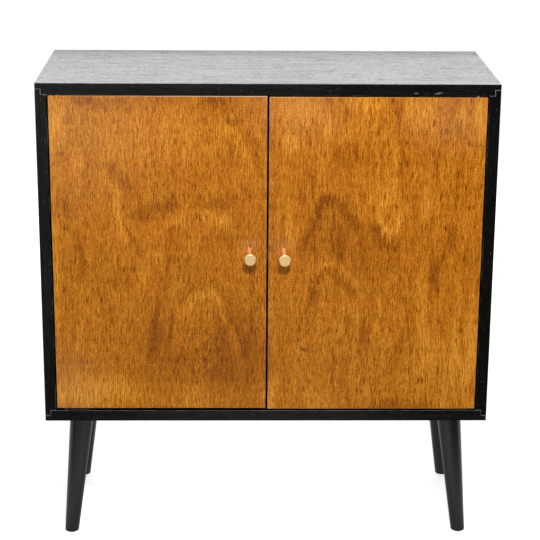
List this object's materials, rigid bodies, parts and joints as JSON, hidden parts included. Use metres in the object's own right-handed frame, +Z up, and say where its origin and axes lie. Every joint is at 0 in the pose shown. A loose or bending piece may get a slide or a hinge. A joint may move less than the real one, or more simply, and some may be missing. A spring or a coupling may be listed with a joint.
{
  "type": "record cabinet",
  "caption": "Free-standing record cabinet with flush hinged doors in figured veneer, brass knobs, a housed shelf and splayed tapered legs, for storing upright album sleeves.",
  "frame": {"origin": "on the floor, under the middle of the whole object's box", "axes": "+Z up; the doors face -Y; +X is to the right as seen from the front"},
  "size_m": [0.915, 0.413, 0.977],
  "materials": {
    "carcass_stain": "black stain, satin",
    "leg_lacquer": "black lacquer, satin",
    "back_board": "black paint, matt",
    "door_veneer": "brown stain, satin",
    "knob_brass": "satin",
    "hinge_brass": "plain",
    "hardware_steel": "zinc plated",
    "washer_nylon": "natural",
    "catch_plastic": "matt",
    "magnet_ferrite": "sintered",
    "glide_plastic": "matt"
  },
  "bodies": {
    "carcass": {"back_panel": "back_board", "back_screws": "hardware_steel", "bottom_panel": "carcass_stain", "catch_pole_plates": "hardware_steel", "catch_screws": "hardware_steel", "frame_leaf_screws": "hardware_steel", "front_left_glide": "glide_plastic", "front_left_leg": "leg_lacquer", "front_right_glide": "glide_plastic", "front_right_leg": "leg_lacquer", "left_catch_housing": "catch_plastic", "left_catch_magnet": "magnet_ferrite", "left_lower_frame_leaf": "hinge_brass", "left_lower_hinge_pin": "hardware_steel", "left_side_panel": "carcass_stain", "left_thrust_washer": "washer_nylon", "left_upper_frame_leaf": "hinge_brass", "left_upper_hinge_pin": "hardware_steel", "leg_bolts": "hardware_steel", "leg_inserts": "hardware_steel", "rear_left_glide": "glide_plastic", "rear_left_leg": "leg_lacquer", "rear_right_glide": "glide_plastic", "rear_right_leg": "leg_lacquer", "right_catch_housing": "catch_plastic", "right_catch_magnet": "magnet_ferrite", "right_lower_frame_leaf": "hinge_brass", "right_lower_hinge_pin": "hardware_steel", "right_side_panel": "carcass_stain", "right_thrust_washer": "washer_nylon", "right_upper_frame_leaf": "hinge_brass", "right_upper_hinge_pin": "hardware_steel", "shelf": "carcass_stain", "top_panel": "carcass_stain"},
    "left_door_assembly": {"left_door": "door_veneer", "left_door_leaf_screws": "hardware_steel", "left_knob": "knob_brass", "left_knob_screw": "hardware_steel", "left_lower_door_leaf": "hinge_brass", "left_strike_plate": "hardware_steel", "left_strike_screw": "hardware_steel", "left_upper_door_leaf": "hinge_brass"},
    "right_door_assembly": {"right_door": "door_veneer", "right_door_leaf_screws": "hardware_steel", "right_knob": "knob_brass", "right_knob_screw": "hardware_steel", "right_lower_door_leaf": "hinge_brass", "right_strike_plate": "hardware_steel", "right_strike_screw": "hardware_steel", "right_upper_door_leaf": "hinge_brass"}
  },
  "joints": [
    {"name": "left_door_swing", "type": "hinge", "parent": "carcass", "child": "left_door_assembly", "pos_m": [-0.41393, -0.1715, 0.623], "axis": [0, 0, -1], "range_deg": [0, 120]},
    {"name": "right_door_swing", "type": "hinge", "parent": "carcass", "child": "right_door_assembly", "pos_m": [0.41393, -0.1715, 0.623], "axis": [0, 0, 1], "range_deg": [0, 120]}
  ]
}
